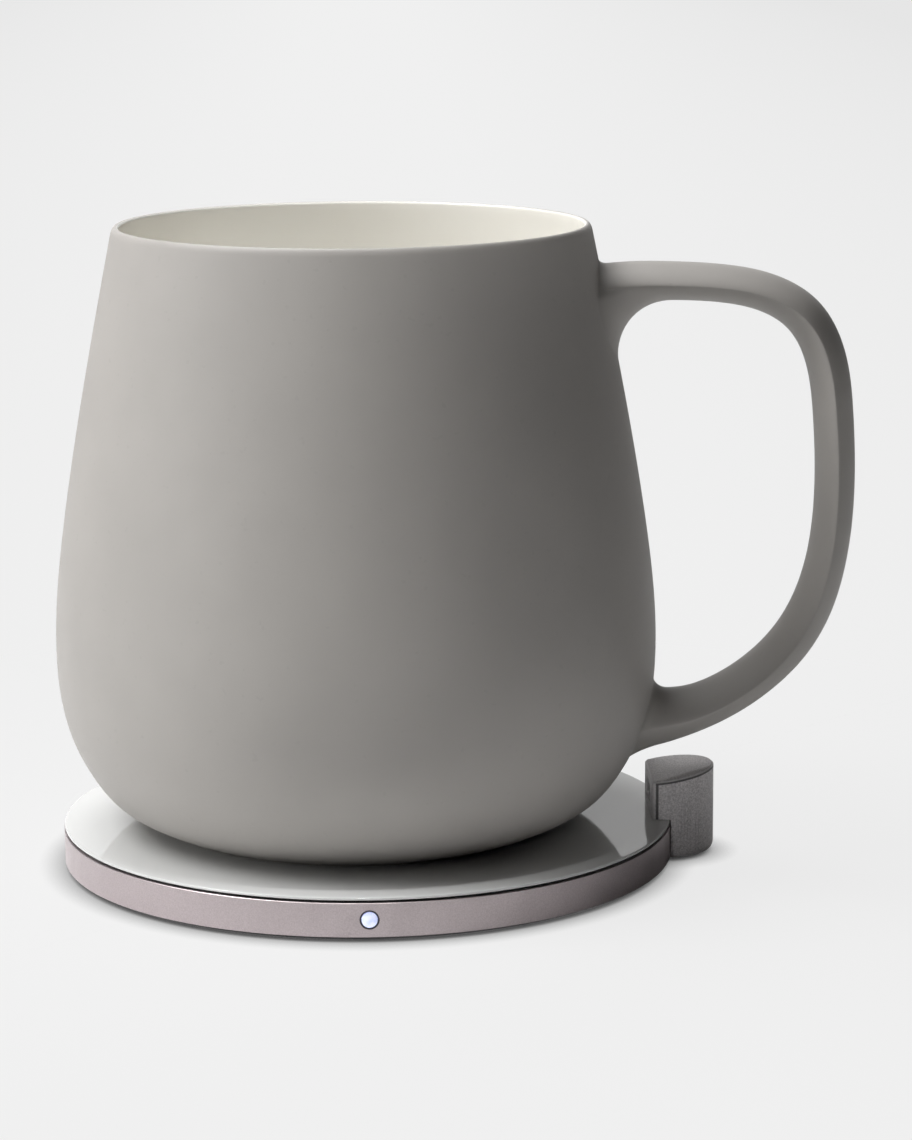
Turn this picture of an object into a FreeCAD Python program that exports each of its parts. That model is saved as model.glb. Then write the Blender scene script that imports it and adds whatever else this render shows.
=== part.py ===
import FreeCAD, Part
import math
import os

# Electric mug warmer: a round wireless warming pad with a lit power button in its rim, a small upright
# block at its right-hand edge, and the heated mug that stands on the pad.
# Millimetres. The origin lies on the table at the pad's axis, +X points to the block, -Y to the button.

Vector = FreeCAD.Vector
UP = Vector(0, 0, 1)

# Driving dimensions of the pad
PAD_R = 47.5
RIM_BOTTOM = 0.8
RIM_TOP = 5.93
RIM_WALL = 1.6
SEAM_TOP = 6.33
PLATE_TOP = 6.73
PLATE_R = 47.4
PLATE_STEP_R = 45.2
PLATE_BOTTOM = 5.1
COVER_R = 45.6
COVER_TOP = 2.2
SOLE_R = 38.0
SOLE_TOP = 1.2
FIT = 0.05

# Screws and bosses that hold the bottom cover
BOSS_PLACE_R = 43.1
BOSS_R = 2.2
BOSS_TOP = 4.9
COVER_SCREW_R = 0.8
COVER_SCREW_HEAD_R = 1.6

# Circuit board round the coil
BOARD_INNER_R = 31.5
BOARD_OUTER_R = 44.2
BOARD_BOTTOM = 2.4
BOARD_TOP = 3.2
PART_RING_R = 38.0

# Coil and what lies round it
TRAY_R = 30.6
TRAY_FLOOR = 2.9
FERRITE_R = 29.8
FERRITE_TOP = 3.6
COIL_WIRE_R = 0.5
COIL_START_R = 11.0
COIL_PITCH = 1.5
COIL_TURNS = 12
COIL_Z = 4.15
FILM_BOTTOM = 4.8

# Lit power button in the rim, its bezel and its switch
BUTTON_Z = 3.45
BUTTON_R = 1.15
BEZEL_INNER_R = 1.22
BEZEL_R = 1.45
BUTTON_DOME = 0.3
BUTTON_TRAVEL = 0.35

# Upright block at the pad's edge
BLOCK_X = 46.7
BLOCK_R = 7.6
BLOCK_FLAT_X = 44.1
BLOCK_BOTTOM = 0.6
BLOCK_TOP_INNER = 12.75
BLOCK_TOP_OUTER = 14.25
BLOCK_WALL = 1.3
BLOCK_CORNER = 0.6
BLOCK_CHAMFER = 0.3
RIM_GAP = 0.1
BLOCK_CORE_Y = 3.8
SOCKET_X = 50.1
SOCKET_Z = 6.9
SOCKET_TALL = 8.94
SOCKET_WIDE = 3.2
SOCKET_DEEP = 7.35
SOCKET_MOUTH_Y = 5.1
WINDOW_Z = 9.8
WINDOW_TALL = 2.7
WINDOW_WIDE = 6.0

# Mug, with its own axis a little off the pad's, and its handle turned a little to the front
MUG_X = -1.5
MUG_Y = -0.6
HANDLE_TURN = -2.6
MUG_TOP = 99.32
MUG_OUTLINE = [(31.1, 7.2), (38.4, 11.3), (44.4, 21.0), (46.45, 36.0), (44.86, 53.25), (41.82, 71.7),
               (36.6, 98.1)]
MUG_BORE = [(35.35, 98.87), (36.95, 86.0), (38.9, 71.7), (41.4, 53.25), (42.7, 36.0), (41.2, 24.5),
            (35.5, 16.3)]
MUG_FLOOR = 13.6
MUG_FLOOR_R = 24.0
FOOT_RING_R = 30.0
RECESS_R = 26.5
RECESS_TOP = 10.6

# Handle stations in the mug's own radius and height: centre r, centre z, thickness, width. The strap's
# sections stand square to its line, and those of the two roots, where it flares onto the body, upright.
TOP_ROOT = [(36.0, 85.8, 14.8, 18.6), (40.2, 86.8, 12.5, 17.6), (41.5, 88.3, 9.7, 16.2),
            (43.8, 89.7, 7.2, 15.0)]
STRAP = [(47.6, 90.4, 5.8, 14.4), (57.1, 89.85, 5.7, 14.2), (63.6, 88.3, 5.85, 14.3),
         (68.8, 84.9, 6.3, 14.4), (71.8, 79.6, 6.2, 14.5), (73.4, 70.2, 6.1, 14.5), (73.85, 59.0, 6.1, 14.5),
         (72.75, 47.7, 6.1, 14.5), (70.5, 40.0, 6.3, 14.6), (67.4, 34.5, 6.5, 14.7), (62.3, 29.2, 6.5, 14.8),
         (55.8, 25.0, 6.75, 15.0)]
LOW_ROOT = [(51.1, 23.2, 7.7, 15.2), (48.7, 22.7, 8.4, 15.6), (46.6, 22.7, 9.8, 16.2),
            (44.9, 23.0, 11.8, 16.8), (42.0, 23.4, 14.0, 17.4), (38.0, 23.6, 15.0, 18.0)]
RIDGE_POWER = 1.5
SECTION_POINTS = 16

os.makedirs("parts", exist_ok=True)


def save(name, shape):
    """Write one sub-part; its file name is its node name."""
    shape.exportStep("parts/" + name + ".step")


def group(solids):
    return Part.makeCompound(solids)


def disc(radius, bottom, top, x=0.0, y=0.0):
    return Part.makeCylinder(radius, top - bottom, Vector(x, y, bottom))


def ring(outer, inner, bottom, top, x=0.0, y=0.0):
    return disc(outer, bottom, top, x, y).cut(disc(inner, bottom - 1, top + 1, x, y))


def block(x0, x1, y0, y1, z0, z1):
    return Part.makeBox(x1 - x0, y1 - y0, z1 - z0, Vector(x0, y0, z0))


def rod(radius, start, end):
    span = end.sub(start)
    return Part.makeCylinder(radius, span.Length, start, span)


def polar(radius, degrees):
    turn = math.radians(degrees)
    return radius * math.cos(turn), radius * math.sin(turn)


def turned(shape, degrees):
    copy = shape.copy()
    copy.rotate(Vector(0, 0, 0), UP, degrees)
    return copy


def on_board(size, degrees, height, radius=PART_RING_R):
    """A box-shaped component standing on the board, square to the radius at the given angle."""
    along, across = size
    body = block(radius - along / 2, radius + along / 2, -across / 2, across / 2, BOARD_TOP,
                 BOARD_TOP + height)
    return turned(body, degrees)


def rounded_slot(x, z, wide, tall, y0, y1):
    """An upright slot with half-round ends, running along Y."""
    radius = wide / 2
    reach = tall / 2 - radius
    middle = block(x - radius, x + radius, y0, y1, z - reach, z + reach)
    end_places = [Vector(x, y0, z - reach), Vector(x, y0, z + reach)]
    ends = [Part.makeCylinder(radius, y1 - y0, place, Vector(0, 1, 0)) for place in end_places]
    return middle.fuse(ends).removeSplitter()


# Sole and bottom cover: the cover drops into the rim, the rubber sole into a shallow round recess in it
BOSS_ANGLES = [30, 120, 210, 300]
BOARD_SCREW_ANGLES = [10, 135, 225]
BOARD_SCREW_R = 0.7
BOARD_SCREW_PLACE_R = 41.5
BOARD_SCREW_TIP = 1.3
BOARD_SCREW_HEAD_R = 1.4
PILLAR_R = 1.8
SOLE_EDGE = 0.3
HEAD_DEPTH = 0.7


def make_rubber_sole():
    sole = disc(SOLE_R, 0, SOLE_TOP)
    lower_edge = [e for e in sole.Edges if e.BoundBox.ZMax < 0.01]
    return sole.makeFillet(SOLE_EDGE, lower_edge)


def make_bottom_cover():
    cover = disc(COVER_R, RIM_BOTTOM, COVER_TOP).cut(disc(SOLE_R + FIT, 0, SOLE_TOP))
    for angle in BOSS_ANGLES:
        x, y = polar(BOSS_PLACE_R, angle)
        cover = cover.cut(disc(COVER_SCREW_R + 0.15, 0, COVER_TOP + 1, x, y))
        cover = cover.cut(disc(COVER_SCREW_HEAD_R + 0.1, 0, RIM_BOTTOM + HEAD_DEPTH, x, y))
    for angle in BOARD_SCREW_ANGLES:
        x, y = polar(BOARD_SCREW_PLACE_R, angle)
        pillar = disc(PILLAR_R, COVER_TOP, BOARD_BOTTOM, x, y)
        cover = cover.fuse(pillar).cut(disc(BOARD_SCREW_R + 0.02, BOARD_SCREW_TIP, BOARD_BOTTOM + 1, x, y))
    return cover


def make_cover_screws():
    screws = []
    for angle in BOSS_ANGLES:
        x, y = polar(BOSS_PLACE_R, angle)
        head = disc(COVER_SCREW_HEAD_R, RIM_BOTTOM + 0.1, RIM_BOTTOM + HEAD_DEPTH, x, y)
        shank = disc(COVER_SCREW_R - 0.02, RIM_BOTTOM + HEAD_DEPTH, BOSS_TOP - 0.5, x, y)
        screws.append(head.fuse(shank))
    return group(screws)


# Rim: a turned metal ring with screw bosses inside, a hole for the button and a pass for the block's cable
RIM_CHAMFER = 0.12
WEB_HALF_WIDTH = 1.2
PASS_HALF_WIDTH = 3.6
PASS_BOTTOM = 2.5
PASS_TOP = 4.9
SIDE_SCREW_Y = -5.5
SIDE_SCREW_Z = 4.0
SIDE_SCREW_R = 0.6
SIDE_SCREW_TIP_X = 49.4
SIDE_HEAD_R = 1.0
SIDE_HEAD_TALL = 0.5


def make_housing_ring():
    inner = PAD_R - RIM_WALL
    body = ring(PAD_R, inner, RIM_BOTTOM, RIM_TOP)
    outer_edges = [e for e in body.Edges if abs(e.BoundBox.XLength - 2 * PAD_R) < 0.01]
    body = body.makeChamfer(RIM_CHAMFER, outer_edges)
    for angle in BOSS_ANGLES:
        web = block(BOSS_PLACE_R, inner + 0.4, -WEB_HALF_WIDTH, WEB_HALF_WIDTH, COVER_TOP, BOSS_TOP)
        boss = disc(BOSS_R, COVER_TOP, BOSS_TOP, BOSS_PLACE_R, 0).fuse(web)
        boss = boss.cut(disc(COVER_SCREW_R, COVER_TOP - 1, BOSS_TOP - 0.4, BOSS_PLACE_R, 0))
        body = body.fuse(turned(boss, angle))
    button_hole = rod(BEZEL_R, Vector(0, -PAD_R - 1, BUTTON_Z), Vector(0, -inner + 2, BUTTON_Z))
    cable_pass = block(inner - 2, PAD_R + 1, -PASS_HALF_WIDTH, PASS_HALF_WIDTH, PASS_BOTTOM, PASS_TOP)
    screw_hole = rod(SIDE_SCREW_R + 0.1, Vector(inner - 2, SIDE_SCREW_Y, SIDE_SCREW_Z),
                     Vector(PAD_R + 1, SIDE_SCREW_Y, SIDE_SCREW_Z))
    return body.cut([button_hole, cable_pass, screw_hole])


# Seam and plate: a black gasket sits back between the rim and the overhanging edge of the glass plate
SEAM_INSET = 0.6
PLATE_EDGE = 0.18


def make_seam_gasket():
    return ring(PAD_R - SEAM_INSET, PLATE_STEP_R + 0.1, RIM_TOP, SEAM_TOP)


def make_top_plate():
    step = disc(PLATE_STEP_R, PLATE_BOTTOM, SEAM_TOP)
    flange = disc(PLATE_R, SEAM_TOP, PLATE_TOP)
    top_edge = [e for e in flange.Edges if abs(e.BoundBox.ZMin - PLATE_TOP) < 0.01 and e.Length > 10]
    return flange.makeFillet(PLATE_EDGE, top_edge).fuse(step)


# Coil stack: tray, ferrite, spiral winding, its two leads, the film over it and the temperature bead
LEAD_R = 0.25
LEAD_Z = 3.25
LEAD_EDGE_X = 31.1
LEAD_END_X = 32.6
LEAD_GROOVE = 0.6
OUTER_LEAD_R = 0.4
OUTER_LEAD_RUN = 4.0
OUTER_LEAD_END_Y = 7.0
BEAD_R = 2.0


def make_coil_tray():
    tray = disc(TRAY_R, COVER_TOP, FERRITE_TOP)
    tray = tray.cut(disc(FERRITE_R + FIT, TRAY_FLOOR, FERRITE_TOP + 1))
    return tray.cut(block(FERRITE_R - 1, TRAY_R + 1, -LEAD_GROOVE, LEAD_GROOVE, TRAY_FLOOR, FERRITE_TOP + 1))


def make_ferrite_disc():
    plate = disc(FERRITE_R, TRAY_FLOOR, FERRITE_TOP)
    groove = block(COIL_START_R - 1, FERRITE_R + 1, -LEAD_GROOVE, LEAD_GROOVE, TRAY_FLOOR - 1,
                   FERRITE_TOP + 1)
    return plate.cut(groove)


def make_charging_coil():
    """A flat spiral of half circles whose centres alternate by half a pitch, checked as it is made."""
    edges = []
    for half in range(2 * COIL_TURNS):
        radius = COIL_START_R + half * COIL_PITCH / 2
        centre = Vector(COIL_PITCH / 2 * (half % 2), 0, COIL_Z)
        side = 1 if half % 2 == 0 else -1
        start = centre + Vector(side * radius, 0, 0)
        middle = centre + Vector(0, side * radius, 0)
        end = centre - Vector(side * radius, 0, 0)
        edges.append(Part.Arc(start, middle, end).toShape())
    path = Part.Wire(edges)
    section = Part.Circle(Vector(COIL_START_R, 0, COIL_Z), Vector(0, 1, 0), COIL_WIRE_R).toShape()
    coil = path.makePipeShell([Part.Wire([section])], True, False)
    expected = path.Length * math.pi * COIL_WIRE_R ** 2
    print("coil volume over section times length:", round(coil.Volume / expected, 4))
    print("coil's least gap to itself, mm:", round(spiral_gap(path), 3))
    return coil


def spiral_gap(path):
    """Least distance between turns, on points of the wire's centre line, less the wire's diameter."""
    points = path.discretize(Number=1200)
    step = path.Length / (len(points) - 1)
    apart = int(COIL_START_R * 4 / step)
    least = min(points[i].distanceToPoint(points[j]) for i in range(0, len(points), 3)
                for j in range(i + apart, len(points), 2))
    return least - 2 * COIL_WIRE_R


def make_coil_leads():
    coil_under = COIL_Z - COIL_WIRE_R
    over_board = BOARD_TOP + LEAD_R
    inner = rod(LEAD_R, Vector(COIL_START_R - LEAD_R, 0, LEAD_Z), Vector(LEAD_EDGE_X, 0, LEAD_Z))
    onto_board = rod(LEAD_R, Vector(LEAD_EDGE_X, 0, over_board), Vector(LEAD_END_X, 0, over_board))
    rises = [disc(LEAD_R, LEAD_Z, coil_under, COIL_START_R, 0),
             disc(LEAD_R, LEAD_Z - LEAD_R, over_board + LEAD_R, LEAD_EDGE_X, 0)]
    leaves = Vector(COIL_START_R + COIL_TURNS * COIL_PITCH, 0.3, COIL_Z)
    lands = Vector(leaves.x + OUTER_LEAD_RUN, OUTER_LEAD_END_Y, COIL_Z)
    outer = rod(OUTER_LEAD_R, leaves, lands).fuse(disc(OUTER_LEAD_R, BOARD_TOP, COIL_Z, lands.x, lands.y))
    return group([inner.fuse([onto_board] + rises), outer])


def make_insulating_film():
    return ring(TRAY_R, BEAD_R + 0.5, FILM_BOTTOM, PLATE_BOTTOM)


def make_plate_thermistor():
    return disc(BEAD_R, FERRITE_TOP, PLATE_BOTTOM)


# Main board with its components: each has its size along and across the radius, its height and its places
CHIP_SIZE = (5.0, 5.0)
CHIP_TALL = 0.9
TRANSISTOR_SIZE = (3.3, 3.3)
TRANSISTOR_TALL = 0.9
CAPACITOR_SIZE = (3.2, 2.5)
CAPACITOR_TALL = 1.6
CAPACITOR_PLACE_R = 37.0
CHOKE_SIZE = (5.0, 5.0)
CHOKE_TALL = 1.6
SMALL_CAPACITOR_SIZE = (1.6, 0.8)
SMALL_CAPACITOR_TALL = 0.8
SMALL_CAPACITOR_PLACE_R = 34.5
CONNECTOR_X = (39.3, 41.4)
CONNECTOR_Y = (-4.4, -1.8)
CONNECTOR_TALL = 1.0
CABLE_Y = (-3.6, -2.45)
CABLE_Z = (3.55, 3.75)
BLOCK_BOARD_X = 51.75
SIDE_HEAD_X = 44.5


def make_main_board():
    board = ring(BOARD_OUTER_R, BOARD_INNER_R, BOARD_BOTTOM, BOARD_TOP)
    for angle in BOSS_ANGLES:
        notch = disc(BOSS_R + 0.4, 0, PLATE_TOP, BOSS_PLACE_R, 0)
        slit = block(BOSS_PLACE_R, PAD_R, -WEB_HALF_WIDTH - 0.4, WEB_HALF_WIDTH + 0.4, 0, PLATE_TOP)
        board = board.cut(turned(notch.fuse(slit), angle))
    for angle in BOARD_SCREW_ANGLES:
        x, y = polar(BOARD_SCREW_PLACE_R, angle)
        board = board.cut(disc(BOARD_SCREW_R + 0.2, 0, PLATE_TOP, x, y))
    head_room = SIDE_HEAD_R + 0.6
    return board.cut(block(SIDE_HEAD_X - 0.6, PAD_R, SIDE_SCREW_Y - head_room, SIDE_SCREW_Y + head_room, 0,
                           PLATE_TOP))


def make_board_screws():
    screws = []
    for angle in BOARD_SCREW_ANGLES:
        x, y = polar(BOARD_SCREW_PLACE_R, angle)
        head = disc(BOARD_SCREW_HEAD_R, BOARD_TOP, BOARD_TOP + 0.8, x, y)
        screws.append(head.fuse(disc(BOARD_SCREW_R, BOARD_SCREW_TIP, BOARD_TOP, x, y)))
    return group(screws)


def make_controller_chip():
    return on_board(CHIP_SIZE, 158, CHIP_TALL)


def make_power_transistors():
    return group([on_board(TRANSISTOR_SIZE, angle, TRANSISTOR_TALL) for angle in (60, 68, 76, 84)])


def make_resonant_capacitors():
    return group([on_board(CAPACITOR_SIZE, angle, CAPACITOR_TALL, CAPACITOR_PLACE_R)
                  for angle in (95, 101, 107, 148)])


def make_filter_chokes():
    return group([on_board(CHOKE_SIZE, angle, CHOKE_TALL) for angle in (190, 200)])


def make_small_capacitors():
    return group([on_board(SMALL_CAPACITOR_SIZE, angle, SMALL_CAPACITOR_TALL, SMALL_CAPACITOR_PLACE_R)
                  for angle in range(165, 256, 12)])


def make_cable_connector():
    return block(*CONNECTOR_X, *CONNECTOR_Y, BOARD_TOP, BOARD_TOP + CONNECTOR_TALL)


def make_board_cable():
    """Flat cable from its connector, through the rim, to the edge of the block's board."""
    return block(CONNECTOR_X[1], BLOCK_BOARD_X, *CABLE_Y, *CABLE_Z)


# Button: the cap slides in its bezel, and its plate behind the rim keeps it in and meets the switch
BEZEL_PROUD = 0.08
CAP_PROUD = 0.05
KEEPER_HALF_WIDTH = 2.2
KEEPER_GAP = 0.1
KEEPER_DEPTH = 0.5
SWITCH_HALF_WIDTH = 2.0
SWITCH_DEPTH = 2.5
SWITCH_TALL = 1.6
PLUNGER_HALF_WIDTH = 0.6
PLUNGER_REACH = 0.8


def make_button_bezel():
    front = Vector(0, -PAD_R - BEZEL_PROUD, BUTTON_Z)
    back = Vector(0, -PAD_R + RIM_WALL, BUTTON_Z)
    return rod(BEZEL_R, front, back).cut(rod(BEZEL_INNER_R, front - Vector(0, 1, 0), back + Vector(0, 1, 0)))


def make_power_button():
    """Round cap with a domed face, and the wide plate behind the rim that keeps it in."""
    rim_inside = -PAD_R + RIM_WALL
    face = -PAD_R - CAP_PROUD
    keeper_front = rim_inside + KEEPER_GAP
    sphere_r = (BUTTON_R ** 2 + BUTTON_DOME ** 2) / (2 * BUTTON_DOME)
    stem = rod(BUTTON_R, Vector(0, face - BUTTON_DOME, BUTTON_Z), Vector(0, keeper_front, BUTTON_Z))
    dome = Part.makeSphere(sphere_r, Vector(0, face - BUTTON_DOME + sphere_r, BUTTON_Z))
    behind_face = block(-BEZEL_R, BEZEL_R, face + 0.1, keeper_front, 0, SEAM_TOP)
    keeper = block(-KEEPER_HALF_WIDTH, KEEPER_HALF_WIDTH, keeper_front, keeper_front + KEEPER_DEPTH,
                   COVER_TOP + 0.2, PLATE_BOTTOM - 0.25)
    return stem.common(dome.fuse(behind_face)).fuse(keeper).removeSplitter()


def make_button_switch():
    keeper_back = -PAD_R + RIM_WALL + KEEPER_GAP + KEEPER_DEPTH
    front = keeper_back + BUTTON_TRAVEL + 0.05
    back = front + PLUNGER_REACH
    plunger = block(-PLUNGER_HALF_WIDTH, PLUNGER_HALF_WIDTH, front, back, BOARD_TOP + 0.2, BOARD_TOP + 1.1)
    case = block(-SWITCH_HALF_WIDTH, SWITCH_HALF_WIDTH, back, back + SWITCH_DEPTH, BOARD_TOP,
                 BOARD_TOP + SWITCH_TALL)
    return case.fuse(plunger)


def make_status_led():
    """Small lamp beside the switch that lights the cap from behind."""
    return block(2.7, 4.3, -43.8, -42.8, BOARD_TOP, BOARD_TOP + 0.8)


# Upright block: half-round shell cut flat towards the mug and cut round where it stands over the pad
BLOCK_BASE_TOP = 1.6
BLOCK_CEILING = BLOCK_TOP_INNER - BLOCK_WALL
BLOCK_FLOOR = PLATE_TOP + 1.3
UPPER_CORE_Y = 4.0
FAR = 20.0
BASE_SCREW_R = 0.55
BASE_SCREW_X = 50.0
BASE_SCREW_Y = -4.5
BASE_SCREW_TIP = 3.2
BASE_HEAD_R = 1.0
HOOK_START_X = 45.0
HOOK_START_Y = 0.6
HOOK_CATCH = 0.6
HOOK_BOTTOM = 2.7
HOOK_TOP = 4.7
POCKET_REACH = 3.1
POCKET_HALF_TALL = 5.6


def block_plan(radius, flat_x, bottom, top):
    """Upright solid whose plan is a circle cut off straight at flat_x."""
    corner = math.sqrt(radius ** 2 - (BLOCK_X - flat_x) ** 2)
    first = Vector(flat_x, -corner, bottom)
    last = Vector(flat_x, corner, bottom)
    round_edge = Part.Arc(first, Vector(BLOCK_X + radius, 0, bottom), last).toShape()
    flat_edge = Part.LineSegment(last, first).toShape()
    return Part.Face(Part.Wire([round_edge, flat_edge])).extrude(Vector(0, 0, top - bottom))


def make_tower_shell():
    body = block_plan(BLOCK_R, BLOCK_FLAT_X, BLOCK_BOTTOM, BLOCK_TOP_OUTER + 2)
    slope = math.degrees(math.atan2(BLOCK_TOP_OUTER - BLOCK_TOP_INNER, BLOCK_X + BLOCK_R - BLOCK_FLAT_X))
    above = block(-FAR, 2 * FAR, -FAR, FAR, 0, FAR)
    above.rotate(Vector(0, 0, 0), Vector(0, 1, 0), -slope)
    above.translate(Vector(BLOCK_FLAT_X, 0, BLOCK_TOP_INNER))
    body = body.cut(above)
    uprights = [e for e in body.Edges if e.BoundBox.ZLength > 5 and e.BoundBox.XMax < BLOCK_FLAT_X + 0.1]
    body = body.makeFillet(BLOCK_CORNER, uprights)
    upper = [e for e in body.Edges if e.BoundBox.ZMin > BLOCK_TOP_INNER - 0.5]
    body = body.makeChamfer(BLOCK_CHAMFER, upper)
    pad_room = disc(PAD_R + RIM_GAP, -1, PLATE_TOP + RIM_GAP)
    body = body.cut(pad_room)
    body = body.cut(block_core())
    body = body.cut(base_recess(0.0))
    body = body.cut(socket_hole(0.1)).cut(socket_pocket())
    window = block(BLOCK_FLAT_X - 1, BLOCK_FLAT_X + BLOCK_WALL + 1, -WINDOW_WIDE / 2, WINDOW_WIDE / 2,
                   WINDOW_Z - WINDOW_TALL / 2, WINDOW_Z + WINDOW_TALL / 2)
    cable_pass = block(PAD_R - 1, PAD_R + 2, -BLOCK_CORE_Y + 0.1, CABLE_Y[1] + 0.25, PASS_BOTTOM + 0.1,
                       PASS_TOP - 0.1)
    side_screw = rod(SIDE_SCREW_R + 0.02, Vector(PAD_R - 1, SIDE_SCREW_Y, SIDE_SCREW_Z),
                     Vector(SIDE_SCREW_TIP_X, SIDE_SCREW_Y, SIDE_SCREW_Z))
    base_screw = disc(BASE_SCREW_R + 0.02, 0, BASE_SCREW_TIP, BASE_SCREW_X, BASE_SCREW_Y)
    return body.cut([window, cable_pass, side_screw, base_screw]).fuse(block_hook())


def block_hook():
    """Tongue that reaches through the rim beside the cable and catches behind the rim's wall."""
    neck = block(HOOK_START_X, PAD_R + 0.5, HOOK_START_Y, PASS_HALF_WIDTH - 0.2, HOOK_BOTTOM, HOOK_TOP)
    catch = block(HOOK_START_X, HOOK_START_X + HOOK_CATCH, HOOK_START_Y, PASS_HALF_WIDTH + HOOK_CATCH,
                  HOOK_BOTTOM, HOOK_TOP)
    return neck.fuse(catch)


def block_core():
    """The hollow of the block: wide above the plate, and narrow behind the rim below it."""
    inner_r = BLOCK_R - BLOCK_WALL
    right = BLOCK_X + BLOCK_R
    upper = block_plan(inner_r, BLOCK_FLAT_X + BLOCK_WALL, BLOCK_FLOOR, BLOCK_CEILING)
    upper = upper.common(block(BLOCK_FLAT_X, right, -FAR, UPPER_CORE_Y, 0, FAR))
    lower = block_plan(inner_r, BLOCK_FLAT_X, 0, BLOCK_FLOOR)
    lower = lower.common(block(BLOCK_FLAT_X, right, -BLOCK_CORE_Y, BLOCK_CORE_Y, 0, FAR))
    return upper.fuse(lower.cut(disc(PAD_R + 0.9, -1, FAR)))


def base_recess(shrink):
    """Plan of the block's bottom cover."""
    plan = block_plan(BLOCK_R - 0.8 - shrink, BLOCK_FLAT_X, 0, BLOCK_BASE_TOP)
    return plan.cut(disc(PAD_R + 0.8 + shrink, -1, FAR))


def socket_hole(gap):
    return rounded_slot(SOCKET_X, SOCKET_Z, SOCKET_WIDE + 2 * gap, SOCKET_TALL + 2 * gap,
                        SOCKET_MOUTH_Y - SOCKET_DEEP, SOCKET_MOUTH_Y + 1)


def socket_pocket():
    """Flat floor round the socket, so that a plug's grip can come close."""
    return block(SOCKET_X - POCKET_REACH, BLOCK_X + BLOCK_R, SOCKET_MOUTH_Y + 0.05, BLOCK_R + 1,
                 SOCKET_Z - POCKET_HALF_TALL, SOCKET_Z + POCKET_HALF_TALL)


def make_tower_base():
    plate = base_recess(FIT).cut(disc(BLOCK_X + FAR, -1, BLOCK_BOTTOM + 0.1))
    hole = disc(BASE_SCREW_R + 0.1, 0, FAR, BASE_SCREW_X, BASE_SCREW_Y)
    head_seat = disc(BASE_HEAD_R + FIT, 0, BLOCK_BOTTOM + 0.5, BASE_SCREW_X, BASE_SCREW_Y)
    return plate.cut([hole, head_seat])


def make_tower_base_screw():
    seat = BLOCK_BOTTOM + 0.5
    head = disc(BASE_HEAD_R, BLOCK_BOTTOM + 0.1, seat, BASE_SCREW_X, BASE_SCREW_Y)
    return head.fuse(disc(BASE_SCREW_R, seat, BASE_SCREW_TIP - 0.2, BASE_SCREW_X, BASE_SCREW_Y))


def make_tower_side_screw():
    """Screw from inside the rim into the block."""
    seat = math.sqrt((PAD_R - RIM_WALL) ** 2 - (abs(SIDE_SCREW_Y) + SIDE_HEAD_R) ** 2)
    head_x = (seat - SIDE_HEAD_TALL, seat, SIDE_SCREW_TIP_X - 0.2)
    back, under_head, tip = [Vector(x, SIDE_SCREW_Y, SIDE_SCREW_Z) for x in head_x]
    return rod(SIDE_HEAD_R, back, under_head).fuse(rod(SIDE_SCREW_R, under_head, tip))


# What the block holds: a board with the power socket, and the sensor with its window and board
BLOCK_BOARD_THICK = 0.5
BLOCK_BOARD_Y = 2.6
BLOCK_BOARD_Z = (2.3, 11.3)
SOCKET_WALL = 0.3
TONGUE_HALF_THICK = 0.35
TONGUE_REACH = 5.2
TONGUE_HALF_TALL = 3.3
WINDOW_SETBACK = 0.3
WINDOW_THICK = 0.8
SENSOR_FRONT_X = 45.6
SENSOR_BOARD_X = 46.9
SENSOR_HALF_WIDE = 2.0
SENSOR_HALF_TALL = 0.9
SENSOR_BOARD_THICK = 0.6
SENSOR_BOARD_HALF_WIDE = 3.4


def make_tower_board():
    back = BLOCK_BOARD_X + BLOCK_BOARD_THICK
    return block(BLOCK_BOARD_X, back, -BLOCK_BOARD_Y, BLOCK_BOARD_Y, *BLOCK_BOARD_Z)


def make_usb_shell():
    back = SOCKET_MOUTH_Y - SOCKET_DEEP
    outer = rounded_slot(SOCKET_X, SOCKET_Z, SOCKET_WIDE, SOCKET_TALL, back, SOCKET_MOUTH_Y)
    inner = rounded_slot(SOCKET_X, SOCKET_Z, SOCKET_WIDE - 2 * SOCKET_WALL, SOCKET_TALL - 2 * SOCKET_WALL,
                         back + 2 * SOCKET_WALL, SOCKET_MOUTH_Y + 1)
    return outer.cut(inner)


def make_usb_tongue():
    back = SOCKET_MOUTH_Y - SOCKET_DEEP + 2 * SOCKET_WALL
    return block(SOCKET_X - TONGUE_HALF_THICK, SOCKET_X + TONGUE_HALF_THICK, back, back + TONGUE_REACH,
                 SOCKET_Z - TONGUE_HALF_TALL, SOCKET_Z + TONGUE_HALF_TALL)


def make_sensor_window():
    front = BLOCK_FLAT_X + WINDOW_SETBACK
    return block(front, front + WINDOW_THICK, -WINDOW_WIDE / 2, WINDOW_WIDE / 2, WINDOW_Z - WINDOW_TALL / 2,
                 WINDOW_Z + WINDOW_TALL / 2)


def make_proximity_sensor():
    return block(SENSOR_FRONT_X, SENSOR_BOARD_X, -SENSOR_HALF_WIDE, SENSOR_HALF_WIDE,
                 WINDOW_Z - SENSOR_HALF_TALL, WINDOW_Z + SENSOR_HALF_TALL)


def make_sensor_board():
    return block(SENSOR_BOARD_X, SENSOR_BOARD_X + SENSOR_BOARD_THICK, -SENSOR_BOARD_HALF_WIDE,
                 SENSOR_BOARD_HALF_WIDE, WINDOW_Z - 1.5, WINDOW_Z + 1.4)


# Mug body, turned from one outline: foot ring, belly, thin round lip and rounded floor
def spline(points, first_tangent=None, last_tangent=None):
    curve = Part.BSplineCurve()
    places = [Vector(r, 0, z) for r, z in points]
    if first_tangent is None:
        curve.interpolate(Points=places)
    else:
        curve.interpolate(Points=places, InitialTangent=first_tangent, FinalTangent=last_tangent)
    return curve.toShape()


def line(start, end):
    return Part.LineSegment(Vector(start[0], 0, start[1]), Vector(end[0], 0, end[1])).toShape()


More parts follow.
